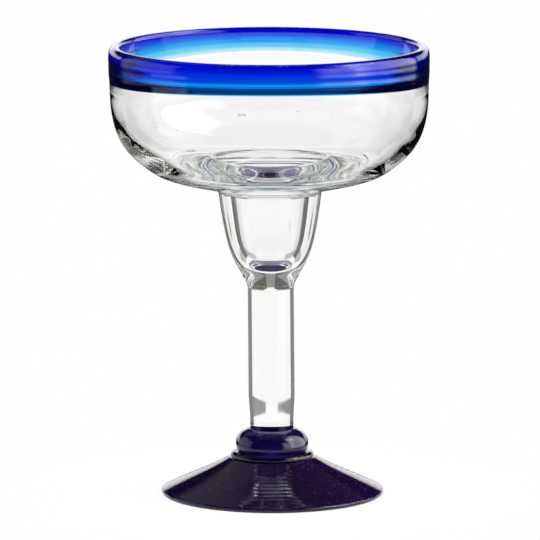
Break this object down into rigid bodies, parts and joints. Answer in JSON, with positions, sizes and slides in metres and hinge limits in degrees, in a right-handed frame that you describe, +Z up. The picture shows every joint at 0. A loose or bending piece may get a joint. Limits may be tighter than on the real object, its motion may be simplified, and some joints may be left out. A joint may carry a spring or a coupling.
{
  "type": "margarita glass",
  "caption": "Hand-blown clear margarita glass: wide bowl over a small lower cup, cobalt blue rim band, solid stem, and cobalt knop, collar and foot.",
  "frame": {"origin": "centre of the circle that the foot stands on, at table height", "axes": "+Z up along the axis of the stem, towards the rim; the glass is round about Z"},
  "size_m": [0.1276, 0.1276, 0.18],
  "materials": {
    "foot": "deep cobalt glass, fire-polished, with faint tooling rings",
    "foot_collar": "deep cobalt glass, fire-polished",
    "knop": "deep cobalt glass, fire-polished",
    "stem": "clear glass, fire-polished",
    "bowl": "clear glass with a faint olive cast and small seeds, fire-polished",
    "rim_band": "cobalt blue glass laid on in turns, fire-polished"
  },
  "bodies": {
    "root": {"foot": "foot", "foot_collar": "foot_collar", "knop": "knop", "stem": "stem", "bowl": "bowl", "rim_band": "rim_band"}
  },
  "joints": []
}
